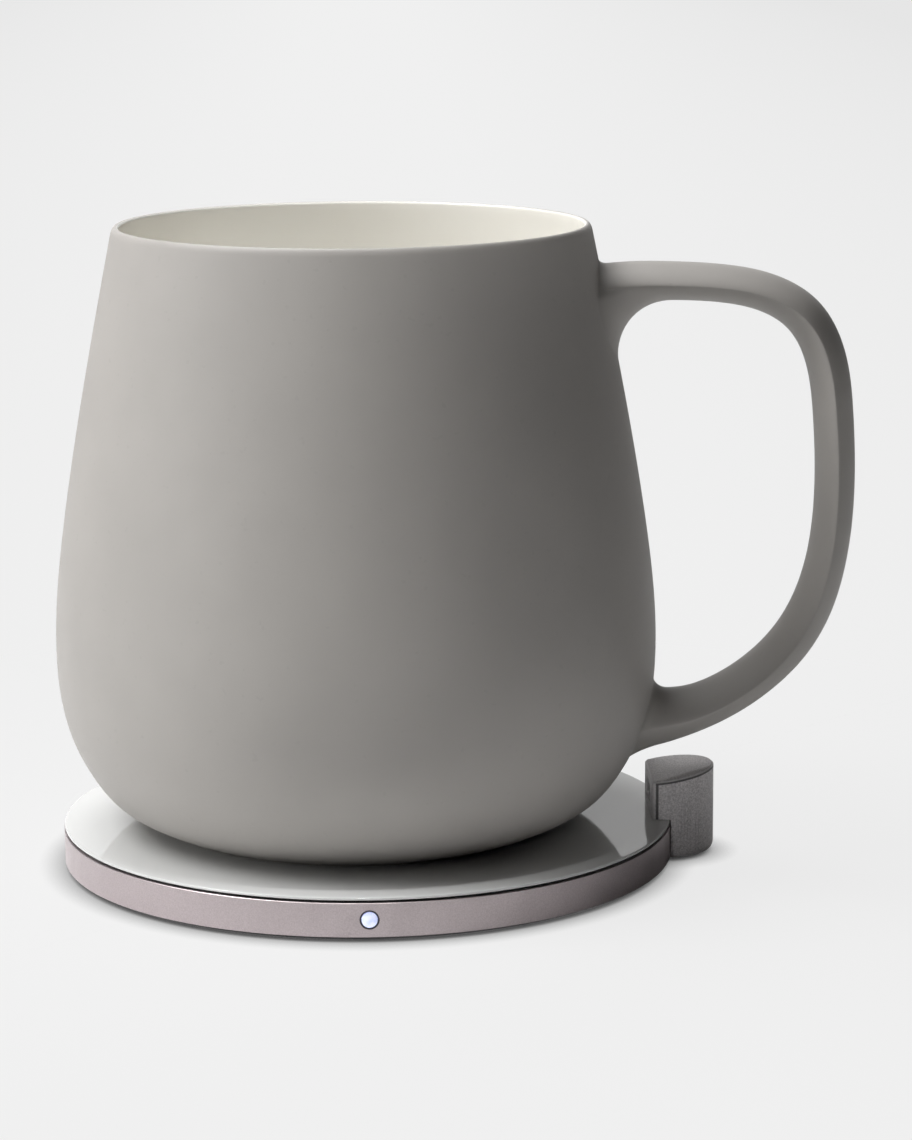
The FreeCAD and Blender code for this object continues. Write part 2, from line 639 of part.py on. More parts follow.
def arc(start, middle, end):
    places = [Vector(r, 0, z) for r, z in (start, middle, end)]
    return Part.Arc(*places).toShape()


def revolve(edges):
    face = Part.Face(Part.Wire(edges))
    return face.revolve(Vector(0, 0, 0), UP, 360)


def mug_outer_edges():
    """The rounded edge of the foot leaves the plate level, then the belly follows its spline."""
    across = MUG_OUTLINE[0][0] - FOOT_RING_R
    rise = MUG_OUTLINE[0][1] - PLATE_TOP
    radius = (across ** 2 + rise ** 2) / (2 * rise)
    half = math.asin(across / radius) / 2
    middle = (FOOT_RING_R + radius * math.sin(half), PLATE_TOP + radius * (1 - math.cos(half)))
    foot = arc((FOOT_RING_R, PLATE_TOP), middle, MUG_OUTLINE[0])
    return [foot, spline(MUG_OUTLINE)]


def mug_envelope():
    """The mug's outside as one full solid, used to trim the handle's ends."""
    top = MUG_OUTLINE[-1]
    edges = mug_outer_edges()
    edges.append(line(top, (0, top[1])))
    edges.append(line((0, top[1]), (0, PLATE_TOP)))
    edges.append(line((0, PLATE_TOP), (FOOT_RING_R, PLATE_TOP)))
    return revolve(edges)


LIP_CROWN_R = 35.8
LIP_DEEP = 0.876
LIP_TALL = 2.056
LIP_TURNS = (46, 68)
LIP_LEAN = Vector(-0.19, 0, 1)


def lip_edges():
    """The outside leans in over part of an ellipse to a thin crown, and then rolls over into the bore."""
    outer = [MUG_OUTLINE[-1]]
    for turn in LIP_TURNS:
        angle = math.radians(turn)
        outer.append((LIP_CROWN_R + LIP_DEEP * math.cos(angle), MUG_TOP - LIP_TALL * (1 - math.sin(angle))))
    crown = (LIP_CROWN_R, MUG_TOP)
    roll = LIP_CROWN_R - MUG_BORE[0][0]
    middle = (LIP_CROWN_R - roll * math.sin(math.pi / 4), MUG_TOP - roll * (1 - math.cos(math.pi / 4)))
    return [spline(outer + [crown], LIP_LEAN, Vector(-1, 0, 0)), arc(crown, middle, MUG_BORE[0])]


def make_mug_body():
    edges = mug_outer_edges() + lip_edges()
    edges.append(spline(MUG_BORE + [(MUG_FLOOR_R, MUG_FLOOR)], Vector(0.13, 0, -1), Vector(-1, 0, 0)))
    edges.append(line((MUG_FLOOR_R, MUG_FLOOR), (0, MUG_FLOOR)))
    edges.append(line((0, MUG_FLOOR), (0, RECESS_TOP)))
    edges.append(line((0, RECESS_TOP), (RECESS_R, RECESS_TOP)))
    edges.append(line((RECESS_R, RECESS_TOP), (RECESS_R, PLATE_TOP)))
    edges.append(line((RECESS_R, PLATE_TOP), (FOOT_RING_R, PLATE_TOP)))
    return revolve(edges)


def lens_section(station, along):
    """Closed curve square to the direction along: a lens with a soft ridge down each side."""
    r, z, thick, wide = station
    across = Vector(0, 1, 0)
    through = across.cross(along).normalize()
    points = []
    for step in range(SECTION_POINTS):
        turn = 2 * math.pi * step / SECTION_POINTS
        rise = math.copysign(abs(math.sin(turn)) ** RIDGE_POWER, math.sin(turn))
        points.append(Vector(r, 0, z) + across * (wide / 2 * math.cos(turn)) + through * (thick / 2 * rise))
    curve = Part.BSplineCurve()
    curve.interpolate(Points=points, PeriodicFlag=True)
    return Part.Wire([curve.toShape()])


def make_mug_handle():
    """Lens sections lofted along the strap from root to root, then trimmed by the mug's outside."""
    outward = Vector(1, 0, 0)
    centre = Part.BSplineCurve()
    line_points = [Vector(r, 0, z) for r, z, thick, wide in TOP_ROOT[-1:] + STRAP + LOW_ROOT[:1]]
    centre.interpolate(Points=line_points)
    sections = [lens_section(station, outward) for station in TOP_ROOT]
    for station in STRAP:
        place = Vector(station[0], 0, station[1])
        sections.append(lens_section(station, centre.tangent(centre.parameter(place))[0]))
    sections += [lens_section(station, outward.negative()) for station in LOW_ROOT]
    strap = Part.makeLoft(sections, True, False)
    handle = strap.cut(mug_envelope())
    return turned(max(handle.Solids, key=lambda s: s.Volume), HANDLE_TURN)


# Heater in the mug's foot
SEAL_INNER_R = 24.4
CAP_BOTTOM = 7.0
CAP_TOP = 8.2
PAD_TOP = 9.6


def make_heating_disc():
    return disc(RECESS_R - 1.0, PAD_TOP, RECESS_TOP)


def make_heater_pad():
    return disc(SEAL_INNER_R - 0.4, CAP_TOP, PAD_TOP)


def make_base_seal():
    return ring(RECESS_R - FIT, SEAL_INNER_R, CAP_TOP, PAD_TOP - 0.1)


def make_base_cap():
    return disc(RECESS_R - FIT, CAP_BOTTOM, CAP_TOP)


PAD_PARTS = {
    "rubber_sole": make_rubber_sole,
    "bottom_cover": make_bottom_cover,
    "cover_screws": make_cover_screws,
    "housing_ring": make_housing_ring,
    "seam_gasket": make_seam_gasket,
    "top_plate": make_top_plate,
    "coil_tray": make_coil_tray,
    "ferrite_disc": make_ferrite_disc,
    "charging_coil": make_charging_coil,
    "coil_leads": make_coil_leads,
    "insulating_film": make_insulating_film,
    "plate_thermistor": make_plate_thermistor,
    "main_board": make_main_board,
    "board_screws": make_board_screws,
    "controller_chip": make_controller_chip,
    "power_transistors": make_power_transistors,
    "resonant_capacitors": make_resonant_capacitors,
    "filter_chokes": make_filter_chokes,
    "small_capacitors": make_small_capacitors,
    "cable_connector": make_cable_connector,
    "board_cable": make_board_cable,
    "button_bezel": make_button_bezel,
    "power_button": make_power_button,
    "button_switch": make_button_switch,
    "status_led": make_status_led,
    "tower_shell": make_tower_shell,
    "tower_base": make_tower_base,
    "tower_base_screw": make_tower_base_screw,
    "tower_side_screw": make_tower_side_screw,
    "tower_board": make_tower_board,
    "usb_shell": make_usb_shell,
    "usb_tongue": make_usb_tongue,
    "sensor_window": make_sensor_window,
    "proximity_sensor": make_proximity_sensor,
    "sensor_board": make_sensor_board,
}
MUG_PARTS = {
    "mug_body": make_mug_body,
    "mug_handle": make_mug_handle,
    "heating_disc": make_heating_disc,
    "heater_pad": make_heater_pad,
    "base_seal": make_base_seal,
    "base_cap": make_base_cap,
}

for name, make in PAD_PARTS.items():
    save(name, make())

for name, make in MUG_PARTS.items():
    piece = make()
    piece.translate(Vector(MUG_X, MUG_Y, 0))
    save(name, piece)
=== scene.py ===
import math

import bmesh
import bpy
import numpy as np
from mathutils import Matrix, Vector


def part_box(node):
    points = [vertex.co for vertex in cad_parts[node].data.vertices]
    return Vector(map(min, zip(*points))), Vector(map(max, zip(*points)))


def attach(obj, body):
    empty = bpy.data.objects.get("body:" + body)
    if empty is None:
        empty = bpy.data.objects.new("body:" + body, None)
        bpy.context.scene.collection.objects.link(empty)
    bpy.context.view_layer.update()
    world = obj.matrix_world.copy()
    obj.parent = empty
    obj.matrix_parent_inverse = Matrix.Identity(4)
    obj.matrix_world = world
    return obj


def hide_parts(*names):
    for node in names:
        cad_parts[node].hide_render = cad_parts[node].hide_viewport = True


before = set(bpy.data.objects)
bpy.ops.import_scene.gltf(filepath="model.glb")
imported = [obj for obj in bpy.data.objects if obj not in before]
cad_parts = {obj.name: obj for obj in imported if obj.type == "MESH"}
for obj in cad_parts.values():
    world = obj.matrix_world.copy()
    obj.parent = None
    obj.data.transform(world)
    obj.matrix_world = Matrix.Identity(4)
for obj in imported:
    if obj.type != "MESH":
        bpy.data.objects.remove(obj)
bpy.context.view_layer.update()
MM = 0.001


# Camera
# The photograph looks along +Y from a little above the mug's rim, through a long lens. Focal length,
# place and small turns come from fitting the outlines of the rim, the plate and the mug's lip.
FOCAL_IN_IMAGE_HEIGHTS = 3549.2 / 1140
CAMERA_DISTANCE = 561.3 * MM
CAMERA_RISE = math.radians(15.87)
CAMERA_PAN = math.radians(1.489)
CAMERA_TILT = math.radians(11.329)
CAMERA_ROLL = math.radians(-0.363)

lens = bpy.data.cameras.new("lens")
lens.sensor_width = 36
lens.lens = FOCAL_IN_IMAGE_HEIGHTS * lens.sensor_width
lens.clip_start = 0.01
camera = bpy.data.objects.new("camera", lens)
bpy.context.collection.objects.link(camera)
bpy.context.scene.camera = camera
ahead = Vector((math.sin(CAMERA_PAN) * math.cos(CAMERA_TILT), math.cos(CAMERA_PAN) * math.cos(CAMERA_TILT),
                -math.sin(CAMERA_TILT)))
level = Vector((math.cos(CAMERA_PAN), -math.sin(CAMERA_PAN), 0))
upright = level.cross(ahead)
side = level * math.cos(CAMERA_ROLL) + upright * math.sin(CAMERA_ROLL)
top = upright * math.cos(CAMERA_ROLL) - level * math.sin(CAMERA_ROLL)
camera.matrix_world = Matrix.Translation(
    (0, -CAMERA_DISTANCE * math.cos(CAMERA_RISE), CAMERA_DISTANCE * math.sin(CAMERA_RISE))
) @ Matrix((side, top, -ahead)).transposed().to_4x4()


# Room and light
# Four soft boxes light the object from the left and from above, a weak one stands low at the rear, and
# narrow spots reach the mug's mouth, the front of the plate and the block. The room is a plain pale grey, and
# the floor a pale sheet that keeps the object's shadow and that the camera sees a little paler, with a
# painted contact shadow close round the object.
def place_lamp(name, light, place, aim):
    """Lamp at a place, turned so that it shines towards aim."""
    lamp = bpy.data.objects.new(name, light)
    bpy.context.collection.objects.link(lamp)
    lamp.location = place
    lamp.rotation_euler = (Vector(aim) - Vector(place)).to_track_quat("-Z", "Y").to_euler()
    return lamp


def soft_box(name, place, aim, width, height, watts):
    """Rectangular lamp that the camera doesn't see."""
    light = bpy.data.lights.new(name, "AREA")
    light.shape = "RECTANGLE"
    light.size = width
    light.size_y = height
    light.energy = watts
    lamp = place_lamp(name, light, place, aim)
    lamp.visible_camera = False
    return lamp


def narrow_spot(name, place, aim, degrees, watts):
    """Spot with a soft rim, whose cone is the given number of degrees wide."""
    light = bpy.data.lights.new(name, "SPOT")
    light.energy = watts
    light.spot_size = math.radians(degrees)
    light.spot_blend = 0.8
    light.shadow_soft_size = 0.02
    return place_lamp(name, light, place, aim)


soft_box("left_box", (-0.62, -0.16, 0.30), (0, 0, 0.045), 0.55, 0.60, 1.55)
soft_box("high_left_box", (-0.42, -0.10, 0.60), (0, 0, 0.05), 0.30, 0.30, 2.9)
soft_box("top_left_box", (-0.28, 0.0, 0.66), (0, 0, 0.05), 0.30, 0.36, 1.6)
soft_box("top_rear_box", (-0.14, 0.30, 0.62), (0, 0, 0.05), 0.30, 0.30, 1.7)
low_rear = soft_box("low_rear_box", (0.25, 0.70, 0.16), (0, 0, 0.03), 0.90, 0.25, 0.6)
low_rear.visible_glossy = False
narrow_spot("mouth_front_spot", (0.25, -0.42, 0.62), (-0.0015, 0.004, 0.099), 4.6, 13.0)
narrow_spot("mouth_top_spot", (0.02, 0.02, 0.80), (-0.0015, -0.0006, 0.099), 4.6, 12.5)
narrow_spot("plate_front_spot", (-0.02, -0.16, 0.80), (-0.002, -0.046, 0.007), 6.0, 7.4)
narrow_spot("block_spot", (-0.20, -0.80, 0.22), (0.053, -0.003, 0.0095), 1.3, 18.0)


def shader_tree(name):
    """New material, with its node tree and its shader."""
    material = bpy.data.materials.new(name)
    material.use_nodes = True
    return material, material.node_tree, material.node_tree.nodes["Principled BSDF"]


def ramp(tree, source, low, high, low_value, high_value):
    """Maps source between low and high onto two colours or two numbers, held flat outside."""
    blend = tree.nodes.new("ShaderNodeMapRange")
    blend.inputs["From Min"].default_value = low
    blend.inputs["From Max"].default_value = high
    tree.links.new(source, blend.inputs["Value"])
    if np.ndim(low_value) == 0:
        blend.inputs["To Min"].default_value = low_value
        blend.inputs["To Max"].default_value = high_value
        return blend.outputs["Result"]
    colours = tree.nodes.new("ShaderNodeMix")
    colours.data_type = "RGBA"
    colours.inputs["A"].default_value = (*low_value, 1)
    colours.inputs["B"].default_value = (*high_value, 1)
    tree.links.new(blend.outputs["Result"], colours.inputs["Factor"])
    return colours.outputs["Result"]


def join(tree, first, second, operation="MULTIPLY"):
    """Result of one sum on two values, each of them a number or a socket."""
    step = tree.nodes.new("ShaderNodeMath")
    step.operation = operation
    for index, value in enumerate((first, second)):
        if isinstance(value, float):
            step.inputs[index].default_value = value
        else:
            tree.links.new(value, step.inputs[index])
    return step.outputs[0]


BACKDROP_GREY = 0.80
BACKDROP_SEEN = 1.06
BACKDROP_MIRRORED = 1.15
BEHIND_STARTS = 0.78
BEHIND_FULL = 0.94
room = bpy.data.worlds.new("room")
bpy.context.scene.world = room
room.use_nodes = True
tree = room.node_tree
backdrop = tree.nodes["Background"]
backdrop.inputs["Color"].default_value = (BACKDROP_GREY, BACKDROP_GREY, BACKDROP_GREY, 1)
facing = tree.nodes.new("ShaderNodeTexCoord")
parts = tree.nodes.new("ShaderNodeSeparateXYZ")
tree.links.new(facing.outputs["Generated"], parts.inputs[0])
behind = ramp(tree, parts.outputs["Y"], BEHIND_STARTS, BEHIND_FULL, 0.0, BACKDROP_MIRRORED)
ray = tree.nodes.new("ShaderNodeLightPath")
mirrored = join(tree, ray.outputs["Is Glossy Ray"], behind)
straight = join(tree, ray.outputs["Is Camera Ray"], ray.outputs["Is Transmission Ray"], "MAXIMUM")
strength = join(tree, join(tree, straight, BACKDROP_SEEN), mirrored, "ADD")
tree.links.new(strength, backdrop.inputs["Strength"])

FLOOR_REACH = 16.0
floor_mesh = bpy.data.meshes.new("floor")
corner = FLOOR_REACH / 2
floor_corners = [(-corner, -corner, 0), (corner, -corner, 0), (corner, corner, 0), (-corner, corner, 0)]
floor_mesh.from_pydata(floor_corners, [], [(0, 1, 2, 3)])
floor = bpy.data.objects.new("floor", floor_mesh)
bpy.context.collection.objects.link(floor)
FLOOR_WHITE = 0.88
SEEN_AT_CENTRE = 0.87
SEEN_AT_SIDES = 0.79
CENTRE_ENDS = 0.05
SIDES_START = 0.5
PAINTED_SHADOW_REACH = 0.0045
NEAR_SHARE = 0.92
FAR_STARTS = 0.16
floor_paint, tree, shader = shader_tree("floor_paint")
shader.inputs["Base Color"].default_value = (FLOOR_WHITE, FLOOR_WHITE, FLOOR_WHITE, 1)
shader.inputs["Roughness"].default_value = 0.9
shader.inputs["Specular IOR Level"].default_value = 0.1
place = tree.nodes.new("ShaderNodeTexCoord")
parts = tree.nodes.new("ShaderNodeSeparateXYZ")
tree.links.new(place.outputs["Object"], parts.inputs[0])
aside = tree.nodes.new("ShaderNodeMath")
aside.operation = "ABSOLUTE"
tree.links.new(parts.outputs["X"], aside.inputs[0])
tone = ramp(tree, aside.outputs[0], CENTRE_ENDS, SIDES_START, SEEN_AT_CENTRE, SEEN_AT_SIDES)
# Painted contact shadow: occlusion near the object darkens the floor's emission that the camera sees.
painted_contact_shadow = tree.nodes.new("ShaderNodeAmbientOcclusion")
painted_contact_shadow.samples = 8
painted_contact_shadow.inputs["Distance"].default_value = PAINTED_SHADOW_REACH
paler = tree.nodes.new("ShaderNodeEmission")
tree.links.new(join(tree, tone, painted_contact_shadow.outputs["AO"]), paler.inputs["Strength"])
away = tree.nodes.new("ShaderNodeVectorMath")
away.operation = "LENGTH"
tree.links.new(place.outputs["Object"], away.inputs[0])
near_share = ramp(tree, away.outputs["Value"], CENTRE_ENDS, FAR_STARTS, NEAR_SHARE, 1.0)
ray = tree.nodes.new("ShaderNodeLightPath")
mix = tree.nodes.new("ShaderNodeMixShader")
tree.links.new(join(tree, ray.outputs["Is Camera Ray"], near_share), mix.inputs["Fac"])
tree.links.new(shader.outputs[0], mix.inputs[1])
tree.links.new(paler.outputs[0], mix.inputs[2])
tree.links.new(mix.outputs[0], tree.nodes["Material Output"].inputs["Surface"])
floor_mesh.materials.append(floor_paint)
bpy.context.scene.view_settings.view_transform = "Standard"


# Mug body
# Slip-cast stoneware, turned about its own axis a little to the left of the pad's. The outside and the
# handle carry a matt warm grey glaze with fine pinholes, and the lip and inside a glossy off-white one.
MUG_AXIS = np.array([-1.5, -0.6]) * MM
PLATE_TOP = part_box("top_plate")[1][2]
MUG_OUTLINE = [(31.1, 7.17), (38.45, 11.3), (41.72, 15.5), (44.4, 21.0), (46.43, 34.8), (44.86, 53.25),
               (41.82, 71.7), (36.6, 98.1)]
MUG_BORE = [(35.35, 98.87), (36.95, 86.0), (38.9, 71.7), (41.4, 53.25), (42.7, 36.0), (41.2, 24.5),
            (35.8, 16.5), (24.0, 13.6)]
BORE_FLOOR = MUG_BORE[-1][1]
MUG_TOP = 99.32
LIP_CROWN_R = 35.8
LIP_DEEP = 0.876
LIP_TALL = 2.056
LIP_STARTS_AT = 24
FOOT_R = 30.0
FOOT_INNER_EDGE = 0.45
FOOT_OUTER_EDGE = 1.52
RECESS_R = 26.5
RECESS_TOP = 10.6
TURN_STEPS = 256


def smooth_through(points, count):
    """Natural cubic spline through the points, with chord length as its parameter, sampled evenly."""
    points = np.asarray(points, float)
    steps = np.linalg.norm(np.diff(points, axis=0), axis=1)
    along = np.r_[0, np.cumsum(steps)]
    size = len(along)
    inner = np.arange(1, size - 1)
    system = np.eye(size)
    system[inner, inner - 1] = steps[:-1]
    system[inner, inner] = 2 * (steps[:-1] + steps[1:])
    system[inner, inner + 1] = steps[1:]
    pull = np.zeros_like(points)
    pull[1:-1] = 6 * np.diff(np.diff(points, axis=0) / steps[:, None], axis=0)
    bend = np.linalg.solve(system, pull)
    place = np.linspace(0, along[-1], count)
    k = np.clip(np.searchsorted(along, place) - 1, 0, size - 2)
    a = (place - along[k])[:, None]
    b = (along[k + 1] - place)[:, None]
    h = steps[k][:, None]
    return ((bend[k] * b ** 3 + bend[k + 1] * a ** 3) / (6 * h) + (points[k] / h - bend[k] * h / 6) * b
            + (points[k + 1] / h - bend[k + 1] * h / 6) * a)


def arc_points(centre, radius, first, last, count):
    """Points on a circle between two angles in degrees."""
    angle = np.radians(np.linspace(first, last, count))
    return np.asarray(centre) + radius * np.c_[np.cos(angle), np.sin(angle)]


def turn_profile(profile, axis=(0.0, 0.0), steps=TURN_STEPS):
    """Surface of revolution: each (radius, height) goes round the axis. A profile that starts and ends on
    the axis closes with a single point there; any other profile closes on itself as a ring."""
    radius, height = np.asarray(profile, float).T
    angle = np.linspace(0, 2 * np.pi, steps, endpoint=False)
    rows = len(radius)
    grid = np.empty((rows, steps, 3))
    grid[..., 0] = axis[0] + radius[:, None] * np.cos(angle)
    grid[..., 1] = axis[1] + radius[:, None] * np.sin(angle)
    grid[..., 2] = height[:, None]
    points = grid.reshape(-1, 3)
    number = np.arange(rows * steps).reshape(rows, steps)
    beside = np.roll(number, -1, axis=1)
    pole_to_pole = radius[0] < 1e-9 and radius[-1] < 1e-9
    low = np.arange(1, rows - 2) if pole_to_pole else np.arange(rows)
    high = low + 1 if pole_to_pole else np.roll(low, -1)
    quads = np.stack([number[low], beside[low], beside[high], number[high]], -1).reshape(-1, 4)
    faces = quads.tolist()
    if pole_to_pole:
        first, last = number[0, 0], number[-1, 0]
        faces += np.c_[np.full(steps, first), beside[1], number[1]].tolist()
        faces += np.c_[number[-2], beside[-2], np.full(steps, last)].tolist()
    return points, faces


def make_piece(name, points, faces, material, body, sharp_degrees=None):
    """Mesh object with smooth shading that rides on a body of the frame."""
    used = np.unique(np.concatenate([np.ravel(f) for f in faces]))
    renumber = np.full(len(points), -1)
    renumber[used] = np.arange(len(used))
    mesh = bpy.data.meshes.new(name)
    mesh.from_pydata(points[used].tolist(), [], [[int(renumber[i]) for i in f] for f in faces])
    mesh.materials.append(material)
    mesh.polygons.foreach_set("use_smooth", [True] * len(mesh.polygons))
    if sharp_degrees:
        mesh.set_sharp_from_angle(angle=math.radians(sharp_degrees))
    piece = bpy.data.objects.new(name, mesh)
    bpy.context.collection.objects.link(piece)
    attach(piece, body)
    return piece


def noise(tree, scale, detail=2.0, roughness=0.5):
    """Noise on object coordinates; the scale is in cells per metre."""
    place = tree.nodes.new("ShaderNodeTexCoord")
    grain = tree.nodes.new("ShaderNodeTexNoise")
    grain.inputs["Scale"].default_value = scale
    grain.inputs["Detail"].default_value = detail
    grain.inputs["Roughness"].default_value = roughness
    tree.links.new(place.outputs["Object"], grain.inputs["Vector"])
    return grain.outputs["Fac"]


def bump(tree, shader, height, depth, strength=1.0):
    """Relief from a height of 0 to 1 that stands for the given depth in metres."""
    relief = tree.nodes.new("ShaderNodeBump")
    relief.inputs["Strength"].default_value = strength
    relief.inputs["Distance"].default_value = depth
    tree.links.new(height, relief.inputs["Height"])
    tree.links.new(relief.outputs["Normal"], shader.inputs["Normal"])


GREY_GLAZE = (0.388, 0.370, 0.350)
GREY_GLAZE_THIN = (0.428, 0.408, 0.386)
WHITE_GLAZE = (0.90, 0.885, 0.835)
WHITE_GLAZE_DEEP = (0.875, 0.855, 0.80)
PINHOLE_DARKNESS = 0.86
PINHOLE_SHARE = 0.22
PINHOLE_DEPTH = -0.25
GREY_ROUGHNESS = 0.50
WHITE_ROUGHNESS = 0.16

mug_glaze, tree, shader = shader_tree("mug_glaze")
clouds = noise(tree, 38, 3.0)
pinholes = ramp(tree, noise(tree, 900, 1.0), 0.70, 0.76, 0.0, 1.0)
grey = ramp(tree, clouds, 0.3, 0.7, GREY_GLAZE, GREY_GLAZE_THIN)
pits = tree.nodes.new("ShaderNodeMix")
pits.data_type = "RGBA"
pits.inputs["B"].default_value = (*[PINHOLE_DARKNESS * c for c in GREY_GLAZE], 1)
tree.links.new(join(tree, pinholes, PINHOLE_SHARE), pits.inputs["Factor"])
tree.links.new(grey, pits.inputs["A"])
white = ramp(tree, clouds, 0.3, 0.7, WHITE_GLAZE_DEEP, WHITE_GLAZE)
inside = tree.nodes.new("ShaderNodeAttribute")
inside.attribute_name = "white_glaze"
inside_share = inside.outputs["Fac"]
glaze = tree.nodes.new("ShaderNodeMix")
glaze.data_type = "RGBA"
tree.links.new(inside_share, glaze.inputs["Factor"])
tree.links.new(pits.outputs["Result"], glaze.inputs["A"])
tree.links.new(white, glaze.inputs["B"])
tree.links.new(glaze.outputs["Result"], shader.inputs["Base Color"])
gloss = ramp(tree, inside_share, 0.0, 1.0, GREY_ROUGHNESS, WHITE_ROUGHNESS)
tree.links.new(gloss, shader.inputs["Roughness"])
shader.inputs["Specular IOR Level"].default_value = 0.34
waves = join(tree, noise(tree, 160, 1.0), join(tree, pinholes, PINHOLE_DEPTH), "ADD")
bump(tree, shader, waves, 0.00004, 0.6)

foot_plane = PLATE_TOP / MM
outside = np.vstack([
    np.c_[np.linspace(0, RECESS_R, 8), np.full(8, RECESS_TOP)],
    np.c_[np.full(6, RECESS_R), np.linspace(RECESS_TOP - 0.2, foot_plane + 0.5, 6)],
    arc_points((RECESS_R + FOOT_INNER_EDGE, foot_plane + FOOT_INNER_EDGE), FOOT_INNER_EDGE, 180, 270, 7)[1:],
    np.c_[np.linspace(RECESS_R + 0.8, FOOT_R - 0.3, 4), np.full(4, foot_plane)],
    arc_points((FOOT_R, foot_plane + FOOT_OUTER_EDGE), FOOT_OUTER_EDGE, -90, -45, 8),
    smooth_through(MUG_OUTLINE, 112)[2:],
])
lean = np.radians(np.linspace(LIP_STARTS_AT, 90, 14))
lip_roll = LIP_CROWN_R - MUG_BORE[0][0]
lip = np.vstack([
    np.c_[LIP_CROWN_R + LIP_DEEP * np.cos(lean), MUG_TOP - LIP_TALL * (1 - np.sin(lean))],
    arc_points((LIP_CROWN_R, MUG_TOP - lip_roll), lip_roll, 90, 180, 9)[1:],
])
bore_floor = np.c_[np.linspace(23.4, 0, 24), np.full(24, BORE_FLOOR)]
bore = np.vstack([smooth_through(MUG_BORE, 96)[1:], bore_floor])
bore[:, 1] = np.maximum(bore[:, 1], BORE_FLOOR)
profile = np.vstack([outside, lip[1:], bore]) * MM
points, faces = turn_profile(profile, MUG_AXIS)
mug_body = make_piece("glazed_mug_body", points, faces, mug_glaze, "mug")


def belly_radius(height):
    """Outer radius of the mug at each height, in millimetres."""
    curve = smooth_through(MUG_OUTLINE, 600)
    return np.interp(height, curve[:, 1], curve[:, 0])


WHITE_STARTS_R = 35.75
WHITE_FADE = 0.3
HALF_WALL = 0.7
FOOT_SHARE = 0.6
spots = np.empty(len(mug_body.data.vertices) * 3)
mug_body.data.vertices.foreach_get("co", spots)
spots = (spots.reshape(-1, 3) - np.r_[MUG_AXIS, 0]) / MM
reach = np.hypot(spots[:, 0], spots[:, 1])
height = spots[:, 2]
within_wall = (belly_radius(height) - reach > HALF_WALL) & (height > BORE_FLOOR - 1)
on_lip = height > MUG_OUTLINE[-1][1]
lip_share = np.clip((WHITE_STARTS_R - reach) / WHITE_FADE, 0, 1) * on_lip
bare_foot = (height < foot_plane + 0.25) & (reach > RECESS_R - 0.1)
attribute = mug_body.data.attributes.new("white_glaze", "FLOAT", "POINT")
white_share = np.select([on_lip, within_wall, bare_foot], [lip_share, 1.0, FOOT_SHARE], 0.0)
attribute.data.foreach_set("value", white_share)
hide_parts("mug_body")


# Mug handle
# A pressed strap of the same clay, luted on at two places and glazed with the body. Its section is a lens
# with a soft ridge down each side, and it flows into the body through fillets, widest under the top joint.
HANDLE_TURN = math.radians(-2.6)
HANDLE_LINE = [(38.8, 90.0), (43.2, 90.35), (47.6, 90.4), (52.5, 90.25), (57.1, 89.85), (63.6, 88.3),
               (68.8, 84.9), (71.8, 79.6), (73.4, 70.2), (73.8, 59.0), (72.75, 47.7), (70.5, 40.0),
               (67.4, 34.5), (62.3, 29.2), (55.8, 25.0), (51.1, 23.2), (46.2, 22.25)]
HANDLE_THICKNESS = [6.1, 5.95, 5.8, 5.7, 5.7, 5.85, 6.3, 6.25, 6.15, 6.1, 6.1, 6.35,
                    6.45, 6.4, 6.6, 7.1, 9.0]
HANDLE_WIDTH = [15.0, 14.6, 14.4, 14.3, 14.2, 14.3, 14.4, 14.5, 14.5, 14.5, 14.5, 14.6,
                14.7, 14.8, 15.0, 15.2, 15.8]
RIDGE_POWER = 1.5
HANDLE_ROWS = 150
HANDLE_SIDES = 96
FILLET_ROWS = 18
FILLET_FULLNESS = 0.66
TOP_ROOT_HEIGHT = 91.8
TOP_ROOT_SPREAD = 1.3
TOP_ROOT_SPREAD_UNDER = 8.7
LOW_ROOT_HEIGHT = 22.0
LOW_ROOT_SPREAD = 1.6
LOW_ROOT_SPREAD_UNDER = 0.9


def handle_line_at(place):
    """Centre, outward normal, thickness and width of the strap at each distance along its line."""
    line = smooth_through(HANDLE_LINE, 800)
    forward = np.gradient(line, axis=0)
    forward /= np.linalg.norm(forward, axis=1)[:, None]
    chord = np.r_[0, np.cumsum(np.linalg.norm(np.diff(np.asarray(HANDLE_LINE), axis=0), axis=1))]
    even = np.linspace(0, chord[-1], 800)
    soft = np.hanning(81) / np.hanning(81).sum()
    columns = [line[:, 0], line[:, 1], forward[:, 0], forward[:, 1]]
    for sizes in (HANDLE_THICKNESS, HANDLE_WIDTH):
        padded = np.pad(np.interp(even, chord, sizes), 40, mode="edge")
        columns.append(np.convolve(padded, soft, mode="valid"))
    return [np.interp(place, even, column) for column in columns]


def strap_surface(place, turn):
    """A lens carried along the line: its width times the cosine of turn lies across the line, and its
    thickness times a power of the sine stands square to it, which gives the soft ridges."""
    r, z, forward_r, forward_z, thick, wide = handle_line_at(place)
    through = np.sign(np.sin(turn)) * np.abs(np.sin(turn)) ** RIDGE_POWER * thick / 2
    return np.stack([r - forward_z * through, wide / 2 * np.cos(turn), z + forward_r * through], -1)


def onto_belly(start, direction):
    """Point where each line meets the mug's outside, by halving the step between outside and inside."""
    near = np.zeros(len(start))
    far = np.full(len(start), 16.0)
    for _ in range(30):
        middle = (near + far) / 2
        place = start + direction * middle[:, None]
        outside_it = np.hypot(place[:, 0], place[:, 1]) > belly_radius(place[:, 2])
        near = np.where(outside_it, middle, near)
        far = np.where(outside_it, far, middle)
    return start + direction * far[:, None]


